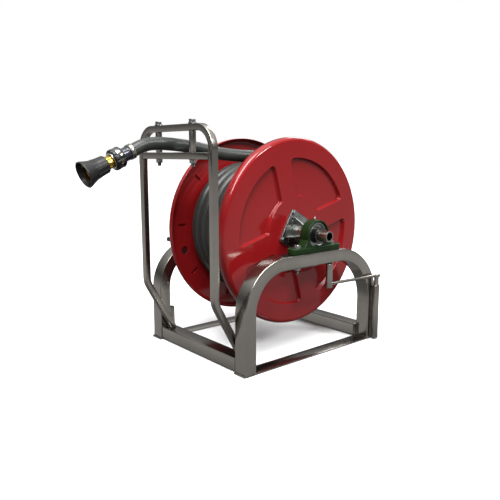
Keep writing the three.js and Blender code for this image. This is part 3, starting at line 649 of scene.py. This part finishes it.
def add_bolt(name, seat, axis, radius, corner, head, length, thread, body, replaces, washer=0.0):
    """seat is where the head bears, axis points from the shank to the head."""
    bm = bmesh.new()
    add_head(bm, seat, axis, corner, head)
    revolve(bm, [(-length + thread, radius), (0.0005, radius)], seat, axis, 24)
    if thread:
        add_thread(bm, seat - axis * (length - thread), -axis, radius, thread)
    finish(name, bm, ZINC, body, replaces)
    if washer:
        ring = bmesh.new()
        add_washer(ring, seat - axis * 0.0025, axis, washer, radius + GAP, 0.0022)
        finish(f"{name}_washer", ring, ZINC, body)


def add_nut(name, seat, axis, height, body, replaces):
    bm = bmesh.new()
    add_head(bm, seat, axis, M12_HEX, height)
    finish(name, bm, ZINC, body, replaces)


def add_guide_pins():
    for _, name in SIDES:
        low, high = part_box(f"{name}_pin_bolt")
        washer_low, washer_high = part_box(f"{name}_pin_washer")
        spot = Vector((middle(f"{name}_pin_roller").x, GUIDE_Y, 0))
        seat = spot + Z * (washer_high.z + GAP)
        add_bolt(f"{name}_guide_bolt", seat, Z, M12_R, M12_HEX, high.z - seat.z, seat.z - low.z, 0.030,
                 "root", [f"{name}_pin_bolt"])
        ring = bmesh.new()
        add_washer(ring, spot + Z * washer_low.z, Z, 0.012, M12_R + GAP, washer_high.z - washer_low.z)
        nut_low, nut_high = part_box(f"{name}_pin_nut")
        add_washer(ring, spot + Z * (nut_high.z - 0.0002), Z, 0.0118, M12_R + GAP, 0.0004)
        finish(f"{name}_guide_washer", ring, ZINC, "root", [f"{name}_pin_washer"])
        add_nut(f"{name}_guide_nut", spot + Z * nut_high.z, -Z, nut_high.z - nut_low.z, "root",
                [f"{name}_pin_nut"])
        low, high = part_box(f"{name}_pin_roller")
        bm = bmesh.new()
        bore_r = M12_R + GAP
        profile = rounded([(low.z, bore_r), (low.z, ROLLER_R), (high.z, ROLLER_R), (high.z, bore_r)],
                          0.0005, 2)
        revolve(bm, profile, spot, Z, 40, loop=True)
        finish(f"{name}_guide_roller", bm, STEEL, f"{name}_roller", [f"{name}_pin_roller"])


def add_block_bolts():
    for side, name in SIDES:
        for end in ("front", "rear"):
            low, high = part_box(f"{name}_{end}_block_bolt")
            nut_low, nut_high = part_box(f"{name}_{end}_block_nut")
            spot = Vector((side * ARCH_X, (low.y + high.y) / 2, 0))
            seat = spot + Z * (high.z - 0.009)
            add_bolt(f"{name}_{end}_base_bolt", seat, Z, M12_R, M12_HEX, 0.009, seat.z - low.z, 0.026, "root",
                     [f"{name}_{end}_block_bolt"])
            add_nut(f"{name}_{end}_base_nut", spot + Z * nut_high.z, -Z, nut_high.z - nut_low.z, "root",
                    [f"{name}_{end}_block_nut"])
            ring = bmesh.new()
            add_washer(ring, seat - Z * 0.0006, Z, 0.0135, M12_R + GAP, 0.0022)
            finish(f"{name}_{end}_base_washer", ring, ZINC, "root")


# ---- pillow blocks ----
def stadium(length, width, steps=16):
    r, half = width / 2, length / 2 - width / 2
    points = [(half + r * math.cos(a), r * math.sin(a))
              for a in (math.pi * (k / steps - 0.5) for k in range(steps + 1))]
    return points + [(-a, -b) for a, b in points]


def add_blocks():
    shelf_thick = 0.018
    dome_r = 0.047
    bearing_r = 0.0400
    for side, name in SIDES:
        low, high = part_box(f"{name}_block_housing")
        x = side * ARCH_X
        centre = Vector((x, AXLE.y, AXLE.z))
        bottom = low.z
        bm = bmesh.new()
        flat = Matrix(((0, 1, 0, x), (1, 0, 0, AXLE.y), (0, 0, 1, bottom), (0, 0, 0, 1)))
        holes = [[(k * 0.075 + a, b) for a, b in circle(M12_R + GAP, 24)] for k in (-1, 1)]
        sheet_cut(bm, stadium(high.y - low.y, TUBE_WIDE), holes, shelf_thick, 0.0022, flat)
        shelf = bottom + shelf_thick - AXLE.z
        tangent = math.radians(15)
        arc = [(dome_r * math.cos(a), dome_r * math.sin(a))
               for a in (-tangent + (math.pi + 2 * tangent) * k / 40 for k in range(41))]
        flare = [(0.0580, shelf + 0.0012), (0.0700, shelf + 0.0004), (0.0700, shelf - 0.004)]
        outline = [(-a, b) for a, b in reversed(flare)] + flare[::-1]
        outline = flare[::-1] + arc + [(-a, b) for a, b in flare]
        upright = Matrix(((0, 0, 1, x - 0.018), (1, 0, 0, AXLE.y), (0, 1, 0, AXLE.z), (0, 0, 0, 1)))
        sheet_cut(bm, outline, [circle(bearing_r, 64)], 0.036, 0.0022, upright)
        for k in (-1, 1):
            revolve(bm, rounded([(0, 0), (0, 0.0150), (0.0012, 0.0150), (0.0012, 0)], [0, 0, 0.0008, 0], 2),
                    Vector((x, AXLE.y + k * 0.075, bottom + shelf_thick - 0.0008)), Z, 40)
        revolve(bm, [(-0.003, 0.0058), (0.0008, 0.0052), (0.0014, 0.0046)], centre + Z * dome_r, Z, 24)
        finish(f"{name}_cast_block", bm, GREEN, "root", [f"{name}_block_housing"], sharp=40)

        race = rounded([(-0.013, 0.0345), (-0.013, 0.0397), (0.013, 0.0397), (0.013, 0.0345)], 0.0010, 3)
        bm = bmesh.new()
        revolve(bm, race, centre, X, 64, loop=True)
        finish(f"{name}_outer_race", bm, ZINC, "root", [f"{name}_bearing_ring"])
        shield = bmesh.new()
        for k in (-1, 1):
            plate = [(0.0070, 0.0260), (0.0070, 0.0344), (0.0082, 0.0344), (0.0090, 0.0325), (0.0080, 0.0260)]
            revolve(shield, [(k * a, r) for a, r in plate], centre, X, 48, loop=True)
        finish(f"{name}_bearing_seals", shield, ZINC, "root")

        low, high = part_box(f"{name}_bearing_collar")
        bm = bmesh.new()
        inner, outer = (low.x, high.x) if side > 0 else (high.x, low.x)
        fit = AXLE_R + GAP
        collar = [(inner, fit), (inner, 0.0250), (x - side * 0.0095, 0.0250), (x - side * 0.0095, 0.0256),
                  (x + side * 0.0095, 0.0256), (x + side * 0.0095, 0.0250), (outer, 0.0250), (outer, fit)]
        collar = rounded(collar, [0.0008, 0.0012, 0, 0, 0, 0, 0.0012, 0.0008], 3)
        revolve(bm, collar, Vector((0, AXLE.y, AXLE.z)), X, 64, loop=True)
        for turn in (35, 155, 275):
            out = Vector((0, math.cos(math.radians(turn)), math.sin(math.radians(turn))))
            seat = Vector((outer - side * 0.007, AXLE.y, AXLE.z)) + out * 0.0246
            revolve(bm, [(0, 0.0030), (0.0012, 0.0030), (0.0012, 0.0016), (0.0004, 0.0014)], seat, out, 18)
        finish(f"{name}_lock_collar", bm, DARK_STEEL, "drum", [f"{name}_bearing_collar"])

        bm = bmesh.new()
        base = centre + Z * (dome_r + GAP)
        add_head(bm, base, Z, 0.0045, 0.0034)
        revolve(bm, [(0.003, 0.0022), (0.0060, 0.0022), (0.0072, 0.0014), (0.0080, 0.0014), (0.0088, 0.0022),
                     (0.0100, 0.0021), (0.0107, 0.0012)], base, Z, 24)
        finish(f"{name}_nipple", bm, BRIGHT, "root", ["grease_nipple"] if side > 0 else ())


# ---- drum ----
def arc_points(centre, radius, start, end, steps):
    return [(centre[0] + radius * math.cos(start + (end - start) * k / steps),
             centre[1] + radius * math.sin(start + (end - start) * k / steps)) for k in range(steps + 1)]


def panel_outline(inset):
    """The edge of one sunk panel, moved inwards: two sides, two arcs and four round corners."""
    side = SPOKE_HALF + inset
    outer, inner = PANEL_OUT - inset, PANEL_IN + inset
    big, small = OUTER_CORNER - inset, INNER_CORNER - inset
    far = math.sqrt((outer - big) ** 2 - (side + big) ** 2)
    near = math.sqrt((inner + small) ** 2 - (side + small) ** 2)
    far_turn = math.atan2(side + big, far)
    near_turn = math.atan2(side + small, near)
    quarter, half = math.pi / 2, math.pi
    points = arc_points((0, 0), outer, far_turn, quarter - far_turn, 56)
    points += arc_points((side + big, far), big, quarter - far_turn, half, 12)[1:]
    points += arc_points((side + small, near), small, half, half + quarter - near_turn, 10)
    points += arc_points((0, 0), inner, quarter - near_turn, near_turn, 24)[1:]
    points += arc_points((near, side + small), small, half + near_turn, half + quarter, 10)[1:]
    points += arc_points((far, side + big), big, half + quarter, 2 * half + far_turn, 12)[:-1]
    return points


def turned(points, degrees):
    turn = Matrix.Rotation(math.radians(degrees), 2)
    return [tuple(turn @ Vector(point)) for point in points]


def panel_loop(degrees):
    return lambda inset: turned(panel_outline(inset), degrees)


def groove_loop(degrees):
    def loop(inset):
        outline = stadium(GROOVE_LONG - 2 * inset, GROOVE_WIDE - 2 * inset, 8)
        return turned([(GROOVE_MIDDLE + a, b) for a, b in outline], degrees)
    return loop


def rim_profile():
    """(x, radius) over the round rim from the flat face, then back along the inner skin."""
    steps = 10
    turns = [math.pi / 2 * k / steps for k in range(steps + 1)]
    centre_x, centre_r = DISC_FACE - RIM_ROUND, DISC_R - RIM_ROUND
    inner_r = RIM_ROUND - SHEET
    lip = DISC_FACE - RIM_WIDTH
    bead = SHEET * 0.3
    points = [(centre_x + RIM_ROUND * math.cos(a), centre_r + RIM_ROUND * math.sin(a)) for a in turns]
    points += [(lip + bead, DISC_R), (lip, DISC_R - bead), (lip, DISC_R - SHEET + bead),
               (lip + bead, DISC_R - SHEET)]
    points += [(centre_x + inner_r * math.cos(a), centre_r + inner_r * math.sin(a)) for a in reversed(turns)]
    return points


def flat_face(bm, place, outline, holes, x):
    loops = [[Vector((a, b, 0)) for a, b in loop] for loop in [outline, *holes]]
    corners = [bm.verts.new(place(x, p.x, p.y)) for loop in loops for p in loop]
    for triangle in tessellate_polygon(loops):
        bm.faces.new([corners[i] for i in triangle])


def pressed_disc(bm, place, hollows, holes):
    """A disc of sheet with a rolled rim. Each hollow is (loop by inset, depth, width of its wall)."""
    rim = circle(DISC_R - RIM_ROUND - EDGE, DISC_SIDES)
    steps = 10
    for x in (DISC_FACE, DISC_FACE - SHEET):
        flat_face(bm, place, rim, [loop(-EDGE) for loop, depth, wall in hollows] + holes, x)
        for loop, depth, wall in hollows:
            levels = [(-EDGE, 0)] + [(wall * k / steps, eased(k / steps)) for k in range(steps + 1)]
            levels.append((wall + EDGE, 1))
            rings = [[place(x - depth * sink, a, b) for a, b in loop(inset)] for inset, sink in levels]
            skin(bm, rings, caps=False)
            flat_face(bm, place, loop(wall + EDGE), [], x - depth)
    for hole in holes:
        skin(bm, [[place(x, a, b) for a, b in hole] for x in (DISC_FACE, DISC_FACE - SHEET)], caps=False)
    around = circle(1, DISC_SIDES)
    profile = [(DISC_FACE, DISC_R - RIM_ROUND - EDGE), *rim_profile(),
               (DISC_FACE - SHEET, DISC_R - RIM_ROUND - EDGE)]
    skin(bm, [[place(x, radius * a, radius * b) for a, b in around] for x, radius in profile], caps=False)


def add_discs():
    bore = circle(AXLE_R + 0.0006, 48)
    panels = [(panel_loop(math.degrees(SPOKE_TURN) + 90 * k), PANEL_SINK, PANEL_WALL) for k in range(4)]
    bm = bmesh.new()
    pressed_disc(bm, lambda x, y, z: AXLE + Vector((x, y, z)), panels, [bore])
    finish("right_disc_sheet", bm, RED, "drum", ["right_disc"], sharp=50)
    step = 360 / GROOVE_COUNT
    grooves = [(groove_loop(FIRST_GROOVE + step * k), -GROOVE_SINK, GROOVE_WALL) for k in range(GROOVE_COUNT)]
    drain = turned([(DRAIN_AT + a, b) for a, b in circle(DRAIN_R, 40)], DRAIN_ANGLE)
    bm = bmesh.new()
    pressed_disc(bm, lambda x, y, z: AXLE + Vector((-x, y, z)), grooves, [bore, drain])
    finish("left_disc_sheet", bm, RED, "drum", ["left_disc"], sharp=50)


def add_hubs():
    rib_reach, rib_half = 0.050, 0.0025
    for side, name in SIDES:
        face = DISC_FACE + GAP
        top = face + HUB_THICK
        bm = bmesh.new()
        square = rectangle(HUB_PLATE, HUB_PLATE, 0.006, 6)
        quarter_turns = [math.pi / 4 + math.pi / 2 * k for k in range(4)]
        holes = [[(HUB_BOLT_R * math.cos(q) + a, HUB_BOLT_R * math.sin(q) + b)
                  for a, b in circle(M8_R + GAP, 20)] for q in quarter_turns]
        holes += [[(0.049 * math.cos(q + 0.24) + a, 0.049 * math.sin(q + 0.24) + b)
                   for a, b in circle(0.0034, 20)] for q in quarter_turns]
        tilt = Matrix.Rotation(SPOKE_TURN + math.pi / 4 - math.pi / 2, 4, "X")
        mirror = Matrix.Identity(4) if side > 0 else Matrix.Rotation(math.pi, 4, "Z")
        stand_up = Matrix(((0, 0, 1, face), (1, 0, 0, 0), (0, 1, 0, 0), (0, 0, 0, 1)))
        place = Matrix.Translation(AXLE) @ mirror @ tilt
        sheet_cut(bm, square, holes, HUB_THICK, 0.0007, place @ stand_up)
        direction = (place.to_3x3() @ X).normalized()
        sleeve = rounded([(face, AXLE_R + GAP), (face, SLEEVE_R), (SLEEVE_END, SLEEVE_R),
                          (SLEEVE_END, AXLE_R + GAP)], [0, 0, 0.0015, 0.001], 3)
        revolve(bm, sleeve, AXLE, direction, 48, loop=True)
        rib = [(top - 0.001, 0.020), (top - 0.001, rib_reach), (top + 0.004, rib_reach),
               (SLEEVE_END - 0.006, SLEEVE_R - 0.001), (SLEEVE_END - 0.006, 0.020)]
        welds = bmesh.new()
        for q in quarter_turns:
            spin = place @ Matrix.Rotation(q, 4, "X")
            # the rib's outline lies in the X-Y plane of its own spoke
            stand = spin @ Matrix(((1, 0, 0, 0), (0, 1, 0, 0), (0, 0, 1, -rib_half), (0, 0, 0, 1)))
            sheet_cut(bm, rib, [], 2 * rib_half, 0.0005, stand)
            for k in (-1, 1):
                line = [spin @ Vector((top, r, k * rib_half)) for r in (SLEEVE_R + 0.001, rib_reach)]
                add_weld(welds, line, 0.0011)
                line = [spin @ Vector((a, SLEEVE_R, k * rib_half)) for a in (top + 0.002, SLEEVE_END - 0.008)]
                add_weld(welds, line, 0.0011)
        ring = [place @ Vector((top, SLEEVE_R * math.cos(a), SLEEVE_R * math.sin(a)))
                for a in (2 * math.pi * k / 48 for k in range(48))]
        add_weld(welds, ring, 0.0014, True)
        finish(f"{name}_hub", bm, ZINC, "drum", [f"{name}_hub_plate"])
        finish(f"{name}_hub_welds", welds, WELD, "drum")
        for index, q in enumerate(quarter_turns):
            spot = place @ Vector((top + GAP + 0.0002, HUB_BOLT_R * math.cos(q), HUB_BOLT_R * math.sin(q)))
            add_bolt(f"{name}_plate_bolt_{index + 1}", spot, direction, M8_R, M8_HEX, 0.0058, 0.0060, 0,
                     "drum", [f"hub_bolt_{index + 1}"] if side > 0 else ())


def add_axles():
    low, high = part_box("inlet_axle")
    bm = bmesh.new()
    pipe = [(low.x, BORE_R), (low.x, AXLE_R), (high.x, AXLE_R), (high.x, BORE_R)]
    revolve(bm, rounded(pipe, [0, 0, 0.0010, 0.0012], 3), AXLE, X, 64, loop=True)
    finish("inlet_pipe", bm, STEEL_ALONG, "drum", ["inlet_axle"])
    low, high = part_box("crank_axle")
    socket_r, depth = 0.0085, 0.040
    bm = bmesh.new()
    stub = [(high.x, 0), (high.x, AXLE_R), (low.x, AXLE_R), (low.x, socket_r), (low.x + depth, socket_r),
            (low.x + depth, 0)]
    revolve(bm, rounded(stub, [0, 0, 0.0015, 0.0010, 0, 0], 3), AXLE, X, 64)
    finish("crank_stub", bm, STEEL_ALONG, "drum", ["crank_axle"])


# ---- crank, sockets, brake ----
def add_crank():
    low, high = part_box("crank_holder")
    bm = bmesh.new()
    sleeve = [(low.z, HOLDER_BORE), (low.z, HOLDER_R), (high.z, HOLDER_R), (high.z, HOLDER_BORE)]
    revolve(bm, rounded(sleeve, [0, 0.0006, 0.0008, 0.0006], 3), HOLDER, Z, 40, loop=True)
    finish("holder_tube", bm, STEEL, "root", ["crank_holder"])
    bm = bmesh.new()
    box(bm, *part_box("holder_plate"), 0.0006)
    finish("holder_flat", bm, STEEL, "root", ["holder_plate"])
    welds = bmesh.new()
    plate_low, plate_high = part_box("holder_plate")
    for y in (plate_low.y, plate_high.y):
        add_weld(welds, [Vector((plate_low.x, y, z)) for z in (0.012, plate_high.z - 0.006)], 0.0015)
    for y in (HOLDER.y - 0.005, HOLDER.y + 0.005):
        add_weld(welds, [Vector((plate_high.x, y, z)) for z in (0.012, high.z - 0.004)], 0.0013)
    finish("holder_welds", welds, WELD, "root")

    low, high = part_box("crank")
    bm = bmesh.new()
    shaft = rounded([(low.z, 0), (low.z, CRANK_SHAFT_R), (high.z, CRANK_SHAFT_R), (high.z, 0)],
                    [0, 0.001, 0.003, 0], 4)
    revolve(bm, shaft, HOLDER, Z, 32)
    holder_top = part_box("crank_holder")[1].z + GAP
    collar = rounded([(0, 0), (0, HOLDER_R), (0.0037, HOLDER_R), (0.0037, 0)], [0, 0.0006, 0.0006, 0], 3)
    revolve(bm, collar, HOLDER + Z * holder_top, Z, 40)
    along = (HANDLE - HOLDER).normalized()
    reach = (HANDLE - HOLDER).length
    arm = rounded([(-0.013, 0), (-0.013, CRANK_ARM_R), (reach - 0.0113, CRANK_ARM_R), (reach - 0.0113, 0)],
                  [0, 0.004, 0.001, 0], 5)
    revolve(bm, arm, HOLDER + Z * CRANK_ARM_Z, along, 28)
    knob = rounded([(-0.0130, 0), (-0.0130, 0.0066), (-0.0050, 0.0066), (-0.0050, 0)],
                   [0, 0.003, 0.002, 0], 4)
    revolve(bm, knob, HOLDER + Z * CRANK_ARM_Z, along, 28)
    finish("crank_rod", bm, STEEL_ALONG, "crank", ["crank"])

    low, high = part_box("crank_handle")
    bm = bmesh.new()
    grip = rounded([(low.z, 0.0085), (low.z, 0.011), (high.z, 0.011), (high.z, 0.0085)],
                   [0.0006, 0.0014, 0.0014, 0.0006], 4)
    revolve(bm, grip, HANDLE, Z, 40, loop=True)
    finish("crank_grip", bm, STEEL, "crank", ["crank_handle"])


def add_socket():
    low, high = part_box("front_socket")
    spot = Vector((middle("front_socket").x, middle("front_socket").y, 0))
    bm = bmesh.new()
    tube = [(low.z, SOCKET_BORE), (low.z, SOCKET_R), (high.z, SOCKET_R), (high.z, SOCKET_BORE)]
    revolve(bm, rounded(tube, [0, 0, 0.0006, 0.0006], 3), spot, Z, 40, loop=True)
    finish("socket_tube", bm, STEEL, "root", ["front_socket"])
    welds = bmesh.new()
    ring = [spot + Vector((SOCKET_R * math.cos(a), SOCKET_R * math.sin(a), low.z))
            for a in (2 * math.pi * k / 40 for k in range(40))]
    add_weld(welds, ring, 0.0016, True)
    finish("socket_weld", welds, WELD, "root")


def add_brake():
    spot = middle("brake_knob")
    centre = Vector((0, spot.y, spot.z))
    low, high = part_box("brake_bush")
    bm = bmesh.new()
    bush = rounded([(low.x, 0.0063), (low.x, 0.012), (high.x, 0.012), (high.x, 0.0063)],
                   [0, 0.0008, 0.0008, 0], 3)
    revolve(bm, bush, centre, X, 40, loop=True)
    finish("brake_boss", bm, STEEL_ALONG, "root", ["brake_bush"])
    low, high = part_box("brake_screw")
    bm = bmesh.new()
    add_thread(bm, centre + X * low.x, X, M12_R, high.x - low.x, 0.002)
    finish("brake_spindle", bm, ZINC, "brake_turn", ["brake_screw"])

    low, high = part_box("brake_knob")

    def lobes(angle):
        return 0.0077 + 0.0003 * math.cos(8 * angle)

    bm = bmesh.new()
    knob = rounded([(low.x, 0), (low.x, 0.0080), (high.x - 0.003, 0.0080), (high.x, 0.0070), (high.x, 0)],
                   [0, 0.002, 0.001, 0.001, 0], 4)
    revolve(bm, knob, centre, X, 96, shape=lobes)
    finish("brake_grip", bm, BLACK, "brake_turn", ["brake_knob"])
    low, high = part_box("brake_pad")
    bm = bmesh.new()
    pad = rounded([(low.x, 0), (low.x, 0.0085), (high.x, 0.0085), (high.x, 0)], [0, 0.001, 0.0015, 0], 3)
    revolve(bm, pad, centre, X, 40)
    finish("brake_shoe", bm, BLACK, "brake_foot", ["brake_pad"])


def dress(node, material):
    """A CAD node that stays shown gets its finish."""
    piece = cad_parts[node]
    for place in piece.material_slots:
        place.material = material


# ---- studio ----
def add_sun(name, toward, strength, spread):
    """A wide soft light. toward points from the object to the light."""
    data = bpy.data.lights.new(name, "SUN")
    data.energy = strength
    data.angle = math.radians(spread)
    light = bpy.data.objects.new(name, data)
    light.rotation_euler = Vector(toward).to_track_quat("Z", "Y").to_euler()
    bpy.context.scene.collection.objects.link(light)


def add_softbox(name, place, target, size, power):
    data = bpy.data.lights.new(name, "AREA")
    data.shape = "RECTANGLE"
    data.size, data.size_y = size
    data.energy = power
    light = bpy.data.objects.new(name, data)
    light.location = place
    light.rotation_euler = (Vector(target) - Vector(place)).to_track_quat("-Z", "Y").to_euler()
    bpy.context.scene.collection.objects.link(light)


def add_studio():
    """A white studio: dim at the horizon and bright above. The camera sees plain white past the floor."""
    bpy.context.scene.view_settings.view_transform = "Standard"
    world = bpy.data.worlds.new("studio")
    bpy.context.scene.world = world
    world.use_nodes = True
    tree = world.node_tree
    shade = tree.nodes["Background"]
    place = tree.nodes.new("ShaderNodeTexCoord")
    split = tree.nodes.new("ShaderNodeSeparateXYZ")
    height = tree.nodes.new("ShaderNodeMapRange")
    height.inputs["From Min"].default_value = -1
    ramp = tree.nodes.new("ShaderNodeValToRGB")
    link(tree, place, "Generated", split, "Vector")
    link(tree, split, "Z", height, "Value")
    link(tree, height, "Result", ramp, "Fac")
    elements = ramp.color_ramp.elements
    while len(elements) < len(SKY):
        elements.new(1.0)
    for element, (level, value) in zip(elements, SKY):
        element.position = (level + 1) / 2
        element.color = (value, value, value, 1)
    rays = tree.nodes.new("ShaderNodeLightPath")
    plain = tree.nodes.new("ShaderNodeMix")
    plain.data_type = "RGBA"
    plain.inputs["B"].default_value = (1, 1, 1, 1)
    link(tree, rays, "Is Camera Ray", plain, "Factor")
    link(tree, ramp, "Color", plain, "A")
    link(tree, plain, "Result", shade, "Color")
    shade.inputs["Strength"].default_value = 1.0

    bm = bmesh.new()
    reach = 30
    corners = ((-reach, -reach, 0), (reach, -reach, 0), (reach, reach, 0), (-reach, reach, 0))
    bm.faces.new([bm.verts.new(corner) for corner in corners])
    mesh = bpy.data.meshes.new("floor")
    bm.to_mesh(mesh)
    bm.free()
    mesh.materials.append(make_material("pale_floor", ((0.86, 0.86, 0.86), (0.88, 0.88, 0.88)), 0.0,
                                        (0.8, 0.9), 3, 0.0, mottle=0.6, shine=0.0))
    floor = bpy.data.objects.new("floor", mesh)
    floor.visible_glossy = False
    floor.visible_diffuse = False
    bpy.context.scene.collection.objects.link(floor)
    add_sun("overhead", (0.10, -0.20, 0.97), 1.3, 60)
    add_sun("behind", (-0.30, 0.72, 0.62), 1.0, 20)
    add_sun("right_side", (0.74, 0.34, 0.58), 1.5, 12)
    add_softbox("front_softbox", (0.91, -1.05, 2.60), (0, 0, 0.40), (1.0, 2.4), 130)


add_camera()
add_hose(add_nozzle())
add_stand()
add_guide()
add_guide_pins()
add_block_bolts()
add_blocks()
add_discs()
add_hubs()
add_axles()
add_crank()
add_socket()
add_brake()
dress("drum_core", RED)
dress("feed_pipe", STEEL_ALONG)
add_studio()
